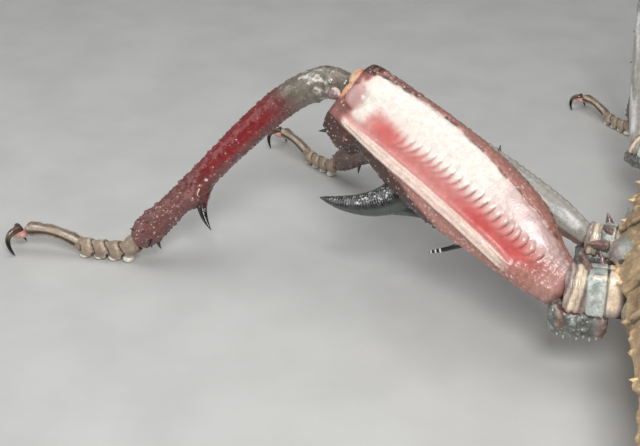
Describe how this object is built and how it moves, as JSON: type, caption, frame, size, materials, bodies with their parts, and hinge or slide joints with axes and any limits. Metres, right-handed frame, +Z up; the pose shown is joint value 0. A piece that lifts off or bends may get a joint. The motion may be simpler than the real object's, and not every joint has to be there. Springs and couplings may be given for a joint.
{
  "type": "giant spiny stick insect, adult male, still model",
  "caption": "Life-size still model of a male giant spiny stick insect, standing, with a bark-like spiny body, swollen red hind thighs with a spur, and long feelers.",
  "frame": {"origin": "middle of the whole model's footprint on the plane that the feet stand on", "axes": "+Z up; the head and feelers point along +Y; the animal's right side is at +X"},
  "size_m": [0.1378, 0.1466, 0.0227],
  "materials": {
    "body_cuticle": "rough, bark-like brown cuticle with paler tubercles",
    "leg_cuticle": "grey-brown cuticle, satin, finely grained",
    "hind_thigh": "glossy pink-red cuticle with granular red-brown edges",
    "hind_shin": "glossy dark crimson cuticle, grained",
    "foot": "grey-beige cuticle with pale soles",
    "claw": "black-brown polished horn",
    "eye": "dark brown, wet gloss",
    "antenna": "dark brown, ringed",
    "mouthparts": "brown, satin"
  },
  "bodies": {
    "root": {"head": "body_cuticle", "mouthparts": "mouthparts", "eye_left": "eye", "antenna_left": "antenna", "cercus_left": "body_cuticle", "eye_right": "eye", "antenna_right": "antenna", "cercus_right": "body_cuticle", "prothorax": "body_cuticle", "mesothorax": "body_cuticle", "metathorax": "body_cuticle", "abdomen_2": "body_cuticle", "abdomen_3": "body_cuticle", "abdomen_4": "body_cuticle", "abdomen_5": "body_cuticle", "abdomen_6": "body_cuticle", "abdomen_7": "body_cuticle", "abdomen_8": "body_cuticle", "abdomen_9": "body_cuticle", "abdomen_10": "body_cuticle", "fore_coxa_left": "leg_cuticle", "fore_femur_left": "leg_cuticle", "fore_tibia_left": "leg_cuticle", "fore_tarsus_left": "foot", "fore_claws_left": "claw", "fore_coxa_right": "leg_cuticle", "fore_femur_right": "leg_cuticle", "fore_tibia_right": "leg_cuticle", "fore_tarsus_right": "foot", "fore_claws_right": "claw", "mid_coxa_left": "leg_cuticle", "mid_femur_left": "leg_cuticle", "mid_tibia_left": "leg_cuticle", "mid_tarsus_left": "foot", "mid_claws_left": "claw", "mid_coxa_right": "leg_cuticle", "mid_femur_right": "leg_cuticle", "mid_tibia_right": "leg_cuticle", "mid_tarsus_right": "foot", "mid_claws_right": "claw", "hind_coxa_left": "leg_cuticle", "hind_femur_left": "hind_thigh", "hind_tibia_left": "hind_shin", "hind_tarsus_left": "foot", "hind_claws_left": "claw", "hind_coxa_right": "leg_cuticle", "hind_femur_right": "hind_thigh", "hind_tibia_right": "hind_shin", "hind_tarsus_right": "foot", "hind_claws_right": "claw"}
  },
  "joints": []
}
